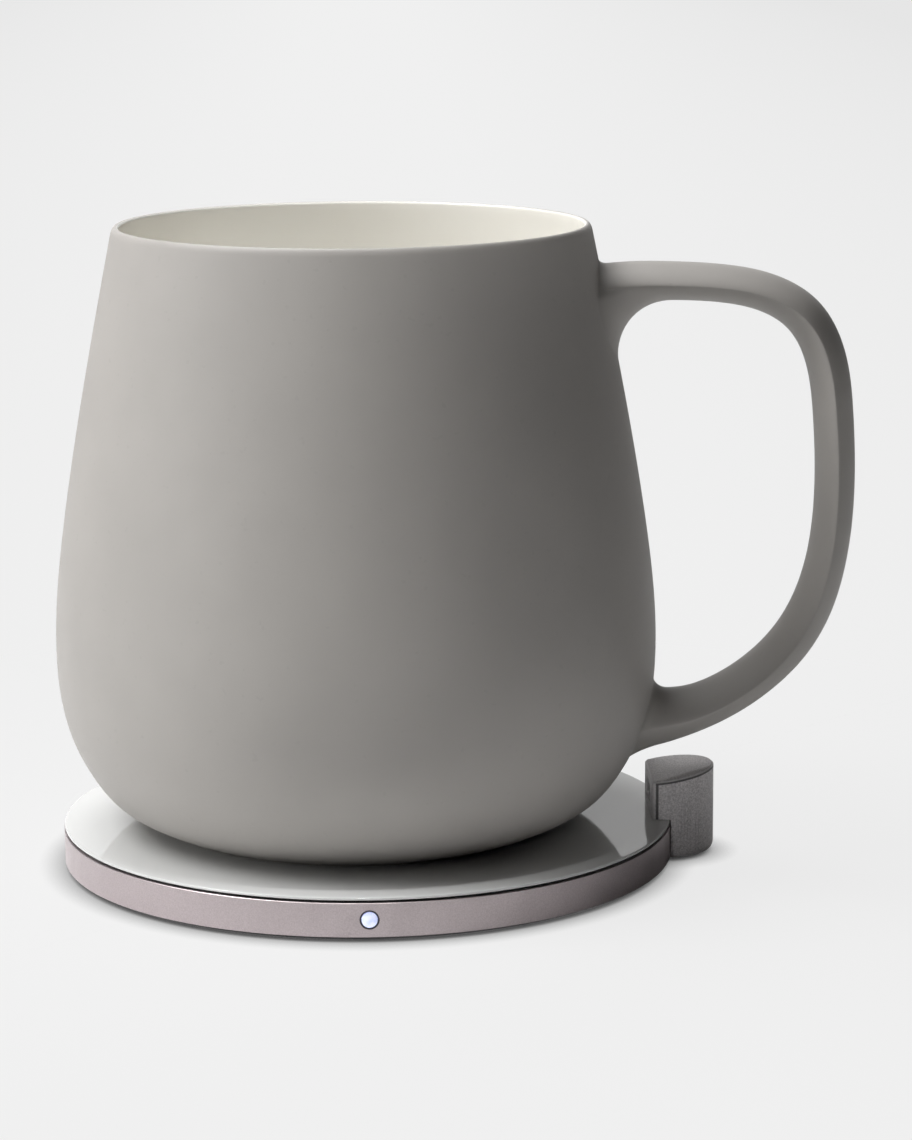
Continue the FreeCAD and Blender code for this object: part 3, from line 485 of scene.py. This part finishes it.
def root_rows(ring, direction, spread, pivot):
    """Fillet from a ring of the strap onto the belly. The control point of each curve is where the strap's
    own line would meet the belly, and its end lies further over the belly by the given spread, away from the
    pivot height. The curve is a conic: its start, control and end points have as weights the square of 1-t,
    twice the fullness times t times 1-t, and the square of t."""
    meet = onto_belly(ring, direction)
    turn = np.arctan2(meet[:, 1], meet[:, 0])
    around = turn * belly_radius(meet[:, 2])
    rise = meet[:, 2] - pivot
    length = np.hypot(around, rise)
    new_height = meet[:, 2] + spread * rise / length
    new_turn = turn + spread * around / length / belly_radius(new_height)
    radius = belly_radius(new_height) - 0.04
    landing = np.c_[radius * np.cos(new_turn), radius * np.sin(new_turn), new_height]
    t = np.linspace(0, 1, FILLET_ROWS)[:, None, None]
    weights = [(1 - t) ** 2, 2 * FILLET_FULLNESS * t * (1 - t), t ** 2]
    return (weights[0] * ring + weights[1] * meet + weights[2] * landing) / sum(weights)


chords = np.linalg.norm(np.diff(np.asarray(HANDLE_LINE), axis=0), axis=1)
turn = np.linspace(0, 2 * np.pi, HANDLE_SIDES, endpoint=False)
under = np.clip(-np.sin(turn), 0, 1)
over = np.clip(np.sin(turn), 0, 1)
first = 0.3 + 1.2 * (1 - over) + 8.6 * under ** 0.8
last = chords.sum() - 0.1 - 1.2 * (1 - over) - 1.8 * under
ratio = np.linspace(0, 1, HANDLE_ROWS)[:, None]
tube = strap_surface(first + (last - first) * ratio, np.broadcast_to(turn, (HANDLE_ROWS, HANDLE_SIDES)))
run = [tube[0] - tube[1], tube[-1] - tube[-2]]
run = [step / np.linalg.norm(step, axis=1)[:, None] for step in run]
top_spread = TOP_ROOT_SPREAD + TOP_ROOT_SPREAD_UNDER * under ** 1.2 - 0.5 * over
low_spread = LOW_ROOT_SPREAD + LOW_ROOT_SPREAD_UNDER * under - 0.3 * over
top_root = root_rows(tube[0], run[0], top_spread, TOP_ROOT_HEIGHT)
low_root = root_rows(tube[-1], run[1], low_spread, LOW_ROOT_HEIGHT)
rows = np.concatenate([top_root[::-1], tube[1:-1], low_root])
turned = rows.copy()
turn_cos = math.cos(HANDLE_TURN)
turn_sin = math.sin(HANDLE_TURN)
turned[..., 0] = rows[..., 0] * turn_cos - rows[..., 1] * turn_sin
turned[..., 1] = rows[..., 0] * turn_sin + rows[..., 1] * turn_cos
turned = turned * MM + np.r_[MUG_AXIS, 0]


def skin_rows(rows):
    """Quads between neighbouring closed rows, with a fan of triangles over each end row."""
    count, sides, _ = rows.shape
    number = np.arange(count * sides).reshape(count, sides)
    beside = np.roll(number, -1, axis=1)
    quads = np.stack([number[:-1], beside[:-1], beside[1:], number[1:]], -1).reshape(-1, 4).tolist()
    points = np.vstack([rows.reshape(-1, 3), rows[0].mean(axis=0), rows[-1].mean(axis=0)])
    first, last = count * sides, count * sides + 1
    quads += np.c_[np.full(sides, first), beside[0], number[0]].tolist()
    quads += np.c_[np.full(sides, last), number[-1], beside[-1]].tolist()
    return points, quads


points, faces = skin_rows(turned)
mug_handle = make_piece("glazed_mug_handle", points, faces, mug_glaze, "mug")
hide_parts("mug_handle")


# Finishes of the frame's own pieces
# Each finish is a grainy paint, moulding or metal: a colour that drifts a little, a roughness that drifts
# with it, and a fine relief.
def plain_finish(name, colour, roughness, metallic=0.0, grain=1500, relief=0.00001, drift=0.12):
    """Material whose colour and roughness drift by a share of themselves over a fine grain."""
    material, tree, shader = shader_tree(name)
    fine = noise(tree, grain, 2.0)
    darker = tuple(c * (1 - drift) for c in colour)
    lighter = tuple(min(1, c * (1 + drift)) for c in colour)
    tree.links.new(ramp(tree, fine, 0.3, 0.7, darker, lighter), shader.inputs["Base Color"])
    tree.links.new(ramp(tree, noise(tree, grain / 12), 0.3, 0.7, roughness * 0.9, min(1, roughness * 1.12)),
                   shader.inputs["Roughness"])
    shader.inputs["Metallic"].default_value = metallic
    if relief:
        bump(tree, shader, fine, relief)
    return material


def finish_nodes(material, *nodes):
    for node in nodes:
        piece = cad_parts[node]
        for slot in piece.material_slots:
            slot.material = material


# Top plate
# A disc of pale back-painted glass with a polished face and a narrow ground edge, glued into the rim.
# It is bare, and mirrors the mug and the room.
plate_glass, tree, shader = shader_tree("plate_glass")
PLATE_WHITE = (0.685, 0.69, 0.683)
PLATE_WHITE_CLEAR = (0.715, 0.72, 0.713)
tree.links.new(ramp(tree, noise(tree, 25, 2.0), 0.3, 0.7, PLATE_WHITE, PLATE_WHITE_CLEAR),
               shader.inputs["Base Color"])
tree.links.new(ramp(tree, noise(tree, 400, 2.0), 0.3, 0.7, 0.04, 0.07), shader.inputs["Roughness"])
shader.inputs["IOR"].default_value = 1.46
PLATE_R = 47.4
PLATE_STEP_R = 45.2
PLATE_BOTTOM = 5.1
PLATE_EDGE = 0.22
SEAM_TOP = 6.33
plate_height = PLATE_TOP / MM
plate_profile = np.vstack([
    [(0, PLATE_BOTTOM), (PLATE_STEP_R - 0.2, PLATE_BOTTOM)],
    [(PLATE_STEP_R, PLATE_BOTTOM + 0.2), (PLATE_STEP_R, SEAM_TOP)],
    [(PLATE_R - 0.06, SEAM_TOP), (PLATE_R, SEAM_TOP + 0.06)],
    arc_points((PLATE_R - PLATE_EDGE, plate_height - PLATE_EDGE), PLATE_EDGE, 0, 90, 9),
    np.c_[np.linspace(PLATE_R - 1.2, 0, 12), np.full(12, plate_height)],
]) * MM
points, faces = turn_profile(plate_profile, steps=360)
plate = make_piece("glass_top_plate", points, faces, plate_glass, "pad", 40)
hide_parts("top_plate")


# Rim
# A turned aluminium ring, bead-blasted and anodised mauve grey, with a hairline bright chamfer at each
# edge and four screw bosses inside. Its wall is cut through for the button, the block's cable and screw.
RIM_R = 47.5
RIM_INNER_R = 45.9
RIM_BOTTOM = 0.8
RIM_TOP = 5.93
RIM_CHAMFER = 0.07
BUTTON_HEIGHT = 3.45
BEZEL_R = 1.45
WALL_LOW = 1.6
WALL_HIGH = 5.2
MAUVE_GREY = (0.445, 0.388, 0.397)
MAUVE_GREY_LIT = (0.53, 0.472, 0.482)
rim_metal, tree, shader = shader_tree("rim_metal")
blast = noise(tree, 5200, 1.0)
tree.links.new(ramp(tree, blast, 0.3, 0.7, MAUVE_GREY, MAUVE_GREY_LIT), shader.inputs["Base Color"])
tree.links.new(ramp(tree, noise(tree, 300), 0.3, 0.7, 0.36, 0.44), shader.inputs["Roughness"])
shader.inputs["Metallic"].default_value = 0.9
bump(tree, shader, blast, 0.000012, 0.7)
rim_profile = np.array([
    (RIM_INNER_R, RIM_BOTTOM), (RIM_R - RIM_CHAMFER, RIM_BOTTOM), (RIM_R, RIM_BOTTOM + RIM_CHAMFER),
    (RIM_R, WALL_LOW), (RIM_R, BUTTON_HEIGHT), (RIM_R, WALL_HIGH), (RIM_R, RIM_TOP - RIM_CHAMFER),
    (RIM_R - RIM_CHAMFER, RIM_TOP), (RIM_INNER_R, RIM_TOP), (RIM_INNER_R, WALL_HIGH), (RIM_INNER_R, WALL_LOW),
]) * MM
points, faces = turn_profile(rim_profile, steps=360)
rim = make_piece("anodised_rim", points, faces, rim_metal, "pad", 30)
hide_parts("housing_ring")


def combine(piece, points, faces, operation):
    """Adds a closed shape to a piece, or takes it out, and leaves the result as the piece's own mesh."""
    tool_mesh = bpy.data.meshes.new("tool")
    tool_mesh.from_pydata(points.tolist(), [], faces)
    tool = bpy.data.objects.new("tool", tool_mesh)
    bpy.context.collection.objects.link(tool)
    change = piece.modifiers.new("change", "BOOLEAN")
    change.operation = operation
    change.solver = "EXACT"
    change.object = tool
    shaped = piece.evaluated_get(bpy.context.evaluated_depsgraph_get())
    result = bpy.data.meshes.new_from_object(shaped)
    piece.modifiers.clear()
    piece.data = result
    bpy.data.objects.remove(tool)


def lie_along_y(points, height):
    """Turns a shape about Z into one about the line along Y at the given height, with its top at +Y."""
    return np.c_[points[:, 0], points[:, 2], -points[:, 1] + height]


def block_shape(low, high):
    """Corner points and outward faces of a plain block, for cutting and joining."""
    corners = np.array([(i, j, k) for i in (0, 1) for j in (0, 1) for k in (0, 1)])
    low = np.asarray(low, float)
    high = np.asarray(high, float)
    faces = [[0, 1, 3, 2], [4, 6, 7, 5], [0, 4, 5, 1], [2, 3, 7, 6], [0, 2, 6, 4], [1, 5, 7, 3]]
    return low + corners * (high - low), faces


def swing(points, degrees):
    """Turns points about the pad's axis."""
    angle = math.radians(degrees)
    return np.c_[points[:, 0] * math.cos(angle) - points[:, 1] * math.sin(angle),
                 points[:, 0] * math.sin(angle) + points[:, 1] * math.cos(angle), points[:, 2]]


BOSS_ANGLES = (30, 120, 210, 300)
BOSS_PLACE_R = 43.1
BOSS_R = 2.2
BOSS_BOTTOM = 2.2
BOSS_TOP = 4.9
BOSS_ROOF = 0.4
BOSS_SCREW_R = 0.8
BOSS_WEB = 1.2
hole_top = BOSS_TOP - BOSS_ROOF
boss_profile = np.array([(0, hole_top), (BOSS_SCREW_R, hole_top), (BOSS_SCREW_R, BOSS_BOTTOM),
                         (BOSS_R, BOSS_BOTTOM), (BOSS_R, BOSS_TOP), (0, BOSS_TOP)]) * MM
for boss_angle in BOSS_ANGLES:
    web_low = np.array((BOSS_PLACE_R + BOSS_SCREW_R + 0.2, -BOSS_WEB, BOSS_BOTTOM)) * MM
    web_high = np.array((RIM_INNER_R + 0.4, BOSS_WEB, BOSS_TOP)) * MM
    points, faces = block_shape(web_low, web_high)
    combine(rim, swing(points, boss_angle), faces, "UNION")
    points, faces = turn_profile(boss_profile, (BOSS_PLACE_R * MM, 0), steps=40)
    combine(rim, swing(points, boss_angle), faces, "UNION")

DRILL_START = -60.0
DRILL_END = -40.0
drill = np.array([(0, DRILL_START), (BEZEL_R, DRILL_START), (BEZEL_R, DRILL_END), (0, DRILL_END)]) * MM
points, faces = turn_profile(drill, steps=64)
combine(rim, lie_along_y(points, BUTTON_HEIGHT * MM), faces, "DIFFERENCE")
CABLE_PASS_LOW = (44.0, -3.6, 2.5)
CABLE_PASS_HIGH = (49.0, 3.6, 4.9)
points, faces = block_shape(np.array(CABLE_PASS_LOW) * MM, np.array(CABLE_PASS_HIGH) * MM)
combine(rim, points, faces, "DIFFERENCE")
SIDE_SCREW_Y = -5.5
SIDE_SCREW_HEIGHT = 4.0
SIDE_SCREW_R = 0.7
SIDE_START = -49.0
SIDE_END = -44.0
screw_drill = [(0, SIDE_START), (SIDE_SCREW_R, SIDE_START), (SIDE_SCREW_R, SIDE_END), (0, SIDE_END)]
screw_drill = np.array(screw_drill) * MM
points, faces = turn_profile(screw_drill, steps=32)
points = swing(lie_along_y(points, SIDE_SCREW_HEIGHT * MM), 90) + np.array([0, SIDE_SCREW_Y, 0]) * MM
combine(rim, points, faces, "DIFFERENCE")
rim.data.set_sharp_from_angle(angle=math.radians(30))


# Button and bezel
# A domed cap of translucent plastic lit from behind in cool white, inside a dark pressed-in ring. The cap
# slides inwards, and a keeper plate at its back, inside the rim, stops it falling out.
bezel_dark = plain_finish("bezel_dark", (0.032, 0.032, 0.045), 0.35, 0.3, 4000, 0.000004)
BUTTON_R = 1.15
BEZEL_INNER_R = 1.22
BEZEL_BACK = -45.9
BEZEL_ROLL = 0.115
button_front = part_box("power_button")[0][1] / MM
bezel_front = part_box("button_bezel")[0][1] / MM
bezel_profile = np.vstack([
    [(BEZEL_INNER_R, BEZEL_BACK), (BEZEL_INNER_R, bezel_front + 0.12)],
    arc_points((BEZEL_INNER_R + BEZEL_ROLL, bezel_front + 0.12), BEZEL_ROLL, 180, 360, 12),
    [(BEZEL_R, bezel_front + 0.2), (BEZEL_R, BEZEL_BACK)],
]) * MM
points, faces = turn_profile(bezel_profile, steps=96)
bezel = make_piece("button_ring", lie_along_y(points, BUTTON_HEIGHT * MM), faces, bezel_dark, "pad", 40)
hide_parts("button_bezel")

button_lens, tree, shader = shader_tree("button_lens")
shader.inputs["Base Color"].default_value = (0.70, 0.74, 0.92, 1)
shader.inputs["Roughness"].default_value = 0.18
shader.inputs["Coat Weight"].default_value = 1.0
glow = ramp(tree, noise(tree, 1400, 2.0), 0.35, 0.65, (0.36, 0.42, 0.86), (0.74, 0.80, 1.0))
tree.links.new(glow, shader.inputs["Emission Color"])
shader.inputs["Emission Strength"].default_value = 0.62
DOME_RISE = 0.3
dome_r = (BUTTON_R ** 2 + DOME_RISE ** 2) / (2 * DOME_RISE)
dome_span = math.degrees(math.asin(BUTTON_R / dome_r))
dome = arc_points((0, button_front + dome_r), dome_r, -90, -90 + dome_span, 14)
KEEPER_THICK = 0.5
box_low, box_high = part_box("power_button")
keeper_front = box_high[1] / MM - KEEPER_THICK
cap_side = [(BUTTON_R, button_front + 0.6), (BUTTON_R, keeper_front), (0, keeper_front)]
cap_profile = np.vstack([dome, cap_side])
cap_profile[0, 0] = 0
points, cap_faces = turn_profile(cap_profile * MM, steps=72)
cap_points = lie_along_y(points, BUTTON_HEIGHT * MM)
keeper_low = np.array([box_low[0], keeper_front * MM, box_low[2]])
keeper_points, keeper_faces = block_shape(keeper_low, box_high)
start = len(cap_points)
points = np.vstack([cap_points, keeper_points])
faces = cap_faces + [[start + i for i in f] for f in keeper_faces]
button = make_piece("lit_button", points, faces, button_lens, "button", 35)
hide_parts("power_button")


# Block
# A half-round post of the same blasted metal, anodised darker, with a foot that turns under. A painted
# highlight runs along its top edge and down the corner by its flat side, and a painted dark line under each
# stands for the dark reflection and shade of a polished chamfer. Its flat side faces the mug and holds a dark
# window for the sensor. The frame's own solid is taken over, and its foot is rounded.
BLOCK_X = 46.7
BLOCK_R = 7.6
BLOCK_FLAT_X = 44.1
BLOCK_TOP_INNER = 12.75
BLOCK_TOP_OUTER = 14.25
BLOCK_CHAMFER = 0.3
BLOCK_CORNER = 0.6
FOOT_TURN_WIDE = 0.7
FOOT_TURN_TALL = 1.3
LINE_FADE = 0.05
DARK_ANODISED = (0.45, 0.425, 0.43)
DARK_ANODISED_LIT = (0.76, 0.73, 0.735)
# Painted highlight and painted shade: colours of the bright line and the dark line at the block's top edge
# and corner.
PAINTED_EDGE_HIGHLIGHT = (0.86, 0.84, 0.845)
PAINTED_EDGE_SHADE = (0.03, 0.028, 0.029)


def band(tree, source, low, high):
    """1 where source lies between two sizes in millimetres, fading to 0 on both sides over LINE_FADE."""
    rise = ramp(tree, source, (low - LINE_FADE) * MM, low * MM, 0.0, 1.0)
    fall = ramp(tree, source, high * MM, (high + LINE_FADE) * MM, 1.0, 0.0)
    return join(tree, rise, fall)


def mix_colours(tree, share, first, second):
    """Colour between first, a socket, and second, a constant."""
    blend = tree.nodes.new("ShaderNodeMix")
    blend.data_type = "RGBA"
    tree.links.new(share, blend.inputs["Factor"])
    tree.links.new(first, blend.inputs["A"])
    blend.inputs["B"].default_value = (*second, 1)
    return blend.outputs["Result"]


block_metal, tree, shader = shader_tree("block_metal")
blast = noise(tree, 3600, 2.0, 0.7)
blasted = ramp(tree, blast, 0.35, 0.65, DARK_ANODISED, DARK_ANODISED_LIT)
place = tree.nodes.new("ShaderNodeTexCoord")
parts = tree.nodes.new("ShaderNodeSeparateXYZ")
tree.links.new(place.outputs["Object"], parts.inputs[0])
inward = join(tree, parts.outputs["X"], -BLOCK_FLAT_X * MM, "ADD")
top_slope = (BLOCK_TOP_OUTER - BLOCK_TOP_INNER) / (BLOCK_X + BLOCK_R - BLOCK_FLAT_X)
top_height = join(tree, join(tree, inward, top_slope), BLOCK_TOP_INNER * MM, "ADD")
below_top = join(tree, top_height, parts.outputs["Z"], "SUBTRACT")
# Painted highlight along the top edge and down the corner of the round side, with a painted dark line of
# shade and dark reflection just below each.
round_side = ramp(tree, inward, 0.8 * BLOCK_CORNER * MM, BLOCK_CORNER * MM, 0.0, 1.0)
side_only = ramp(tree, below_top, 0.8 * BLOCK_CHAMFER * MM, BLOCK_CHAMFER * MM, 0.0, 1.0)
painted_highlight_top = band(tree, below_top, 0.08, 0.8 * BLOCK_CHAMFER)
painted_highlight_corner = join(tree, band(tree, inward, 0.1, 0.75 * BLOCK_CORNER), side_only)
painted_shade_top = join(tree, band(tree, below_top, BLOCK_CHAMFER, 1.9 * BLOCK_CHAMFER), round_side)
painted_shade_corner = join(tree, band(tree, inward, BLOCK_CORNER, 1.6 * BLOCK_CORNER), side_only)
painted_highlight = join(tree, painted_highlight_top, painted_highlight_corner, "MAXIMUM")
painted_shade = join(tree, join(tree, painted_shade_top, painted_shade_corner, "MAXIMUM"), 0.9)
with_highlight = mix_colours(tree, join(tree, painted_highlight, 0.7), blasted, PAINTED_EDGE_HIGHLIGHT)
tree.links.new(mix_colours(tree, painted_shade, with_highlight, PAINTED_EDGE_SHADE), shader.inputs["Base Color"])
tree.links.new(ramp(tree, blast, 0.3, 0.7, 0.42, 0.56), shader.inputs["Roughness"])
shader.inputs["Metallic"].default_value = 0.18
bump(tree, shader, blast, 0.00002, 0.8)


def merged_copy(node, name, material, body):
    """Copy of a frame node with its loose triangles joined to one closed shape, ready to be carved."""
    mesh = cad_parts[node].data.copy()
    mesh.name = name
    shape = bmesh.new()
    shape.from_mesh(mesh)
    bmesh.ops.remove_doubles(shape, verts=shape.verts, dist=0.0005 * MM)
    shape.to_mesh(mesh)
    shape.free()
    mesh.materials.clear()
    mesh.materials.append(material)
    copy = bpy.data.objects.new(name, mesh)
    bpy.context.collection.objects.link(copy)
    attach(copy, body)
    return copy


post = merged_copy("tower_shell", "half_round_post", block_metal, "pad")
post_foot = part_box("tower_shell")[0][2] / MM
turned_under = np.radians(np.linspace(0, -90, 14))
foot_cutter = np.vstack([
    [(BLOCK_R - FOOT_TURN_WIDE, post_foot - 0.5), (BLOCK_R + 0.5, post_foot - 0.5),
     (BLOCK_R + 0.5, post_foot + FOOT_TURN_TALL)],
    np.c_[BLOCK_R - FOOT_TURN_WIDE + FOOT_TURN_WIDE * np.cos(turned_under),
          post_foot + FOOT_TURN_TALL * (1 + np.sin(turned_under))],
]) * MM
points, faces = turn_profile(foot_cutter, (BLOCK_X * MM, 0), steps=200)
combine(post, points, faces, "DIFFERENCE")
post.data.polygons.foreach_set("use_smooth", [True] * len(post.data.polygons))
post.data.set_sharp_from_angle(angle=math.radians(30))
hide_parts("tower_shell")
finish_nodes(plain_finish("window_dark", (0.012, 0.012, 0.014), 0.08, 0.0, 800, 0), "sensor_window")


# Small trim and the underside
# The seam is a thin dark gasket. Below it a ring of moulded rubber is glued to the plastic cover, which four
# steel screws hold to the rim, and the power receptacle is a drawn steel shell round a moulded tongue.
finish_nodes(plain_finish("seam_black", (0.02, 0.018, 0.018), 0.6, 0.0, 2500), "seam_gasket")
finish_nodes(plain_finish("sole_rubber", (0.045, 0.045, 0.045), 0.75, 0.0, 1800, 0.00003), "rubber_sole")
finish_nodes(plain_finish("cover_plastic", (0.055, 0.055, 0.056), 0.5, 0.0, 2600, 0.00002),
             "bottom_cover", "tower_base")
finish_nodes(plain_finish("screw_steel", (0.60, 0.60, 0.60), 0.3, 1.0, 900), "cover_screws", "board_screws",
             "tower_base_screw", "tower_side_screw")
finish_nodes(plain_finish("socket_steel", (0.62, 0.62, 0.62), 0.22, 1.0, 1200), "usb_shell")
finish_nodes(plain_finish("tongue_black", (0.02, 0.02, 0.02), 0.5), "usb_tongue")


# Inside of the pad and the block
# Green glass-fibre boards carry moulded chips, chokes and capacitors. The wound copper coil lies on a
# sintered ferrite disc in a moulded tray, under an amber film. A flat cable runs from the board to the block.
finish_nodes(plain_finish("board_green", (0.01, 0.09, 0.03), 0.35, 0.0, 700, 0.00001), "main_board",
             "tower_board", "sensor_board")
finish_nodes(plain_finish("chip_black", (0.015, 0.015, 0.015), 0.55), "controller_chip", "power_transistors",
             "button_switch", "proximity_sensor")
finish_nodes(plain_finish("capacitor_tan", (0.36, 0.22, 0.12), 0.5), "resonant_capacitors",
             "small_capacitors")
finish_nodes(plain_finish("choke_grey", (0.06, 0.06, 0.065), 0.6), "filter_chokes")
finish_nodes(plain_finish("ferrite_grey", (0.035, 0.035, 0.037), 0.65), "ferrite_disc")
finish_nodes(plain_finish("coil_copper", (0.60, 0.22, 0.08), 0.3, 0.9, 2200), "charging_coil", "coil_leads")
finish_nodes(plain_finish("film_amber", (0.50, 0.19, 0.01), 0.2, 0.0, 300, 0, 0.06), "insulating_film")
finish_nodes(plain_finish("tray_white", (0.72, 0.72, 0.69), 0.5), "coil_tray", "cable_connector")
finish_nodes(plain_finish("bead_epoxy", (0.012, 0.012, 0.012), 0.25), "plate_thermistor")
finish_nodes(plain_finish("cable_orange", (0.48, 0.14, 0.02), 0.35), "board_cable")
finish_nodes(plain_finish("led_white", (0.85, 0.84, 0.78), 0.3), "status_led")


# Heater in the mug's foot
# A plain metal disc takes up the coil's field. A soft silicone pad presses it to the mug's floor, and a
# moulded cap closes the foot on a silicone ring.
finish_nodes(plain_finish("heater_metal", (0.62, 0.62, 0.62), 0.35, 1.0, 900), "heating_disc")
finish_nodes(plain_finish("seal_silicone", (0.55, 0.55, 0.53), 0.6), "heater_pad", "base_seal")
finish_nodes(plain_finish("cap_plastic", (0.30, 0.28, 0.26), 0.45, 0.0, 1500, 0.00002), "base_cap")
